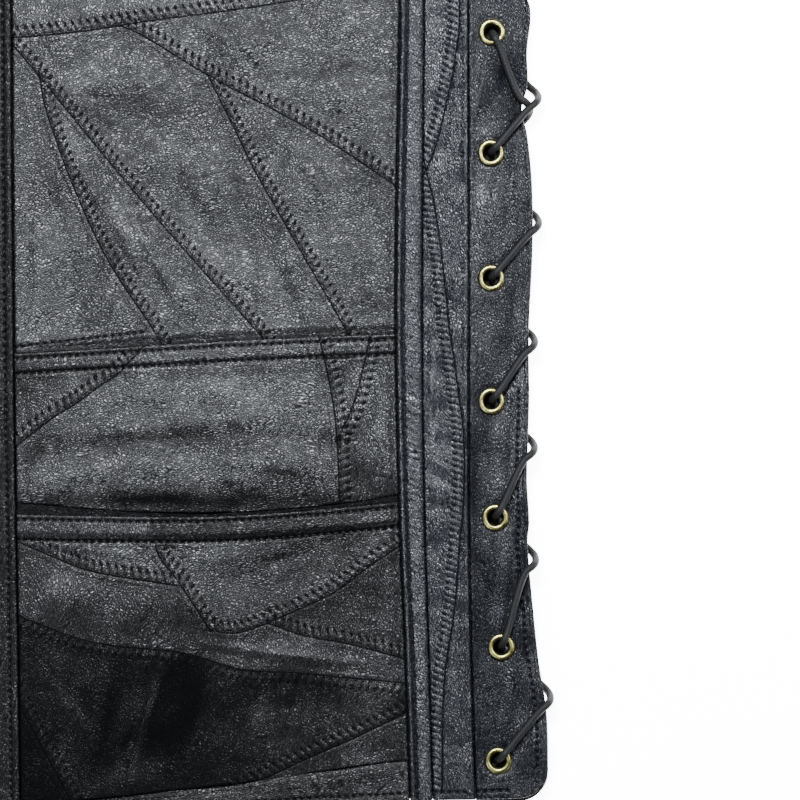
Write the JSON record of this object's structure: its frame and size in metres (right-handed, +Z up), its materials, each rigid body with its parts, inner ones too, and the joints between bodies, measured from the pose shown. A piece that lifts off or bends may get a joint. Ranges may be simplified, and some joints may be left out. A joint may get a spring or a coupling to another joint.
{
  "type": "leather vest",
  "caption": "Patchwork leather vest laid flat, front up, with snap-closed fronts, two pocket pieces on each front and sides whipped together by laces through brass eyelets",
  "frame": {"origin": "centre of the flat underside, under the middle of the vest's box", "axes": "+X to the viewer's right, which is the wearer's left; +Y up the garment from hem to neck; +Z up from the surface it lies on, out of the front"},
  "size_m": [0.491, 0.63, 0.0153],
  "materials": {
    "front_leather": "black pebbled leather, patchwork, semi-matt with a soft sheen",
    "side_leather": "black pebbled leather, slightly bluish and darker",
    "back_leather": "plain black pebbled leather",
    "lace_cord": "round black leather lace, matt",
    "antique_brass": "antique brass, pale on the rings, dark in the recesses"
  },
  "bodies": {
    "root": {"back_body": "back_leather", "front_body_left": "front_leather", "front_band_left": "front_leather", "pocket_upper_left": "front_leather", "pocket_lower_left": "front_leather", "back_lace_panel_left": "side_leather", "side_strip_left": "side_leather", "side_panel_left": "side_leather", "front_lace_panel_left": "side_leather", "lace_left": "lace_cord", "front_eyelet_left_1": "antique_brass", "back_eyelet_left_1": "antique_brass", "front_eyelet_left_2": "antique_brass", "back_eyelet_left_2": "antique_brass", "front_eyelet_left_3": "antique_brass", "back_eyelet_left_3": "antique_brass", "front_eyelet_left_4": "antique_brass", "back_eyelet_left_4": "antique_brass", "front_eyelet_left_5": "antique_brass", "back_eyelet_left_5": "antique_brass", "front_eyelet_left_6": "antique_brass", "back_eyelet_left_6": "antique_brass", "front_eyelet_left_7": "antique_brass", "back_eyelet_left_7": "antique_brass", "front_body_right": "front_leather", "front_band_right": "front_leather", "pocket_upper_right": "front_leather", "pocket_lower_right": "front_leather", "back_lace_panel_right": "side_leather", "side_strip_right": "side_leather", "side_panel_right": "side_leather", "front_lace_panel_right": "side_leather", "lace_right": "lace_cord", "front_eyelet_right_1": "antique_brass", "back_eyelet_right_1": "antique_brass", "front_eyelet_right_2": "antique_brass", "back_eyelet_right_2": "antique_brass", "front_eyelet_right_3": "antique_brass", "back_eyelet_right_3": "antique_brass", "front_eyelet_right_4": "antique_brass", "back_eyelet_right_4": "antique_brass", "front_eyelet_right_5": "antique_brass", "back_eyelet_right_5": "antique_brass", "front_eyelet_right_6": "antique_brass", "back_eyelet_right_6": "antique_brass", "front_eyelet_right_7": "antique_brass", "back_eyelet_right_7": "antique_brass", "snap_cap_1": "antique_brass", "snap_stud_1": "antique_brass", "snap_cap_2": "antique_brass", "snap_stud_2": "antique_brass", "snap_cap_3": "antique_brass", "snap_stud_3": "antique_brass", "snap_cap_4": "antique_brass", "snap_stud_4": "antique_brass"}
  },
  "joints": []
}
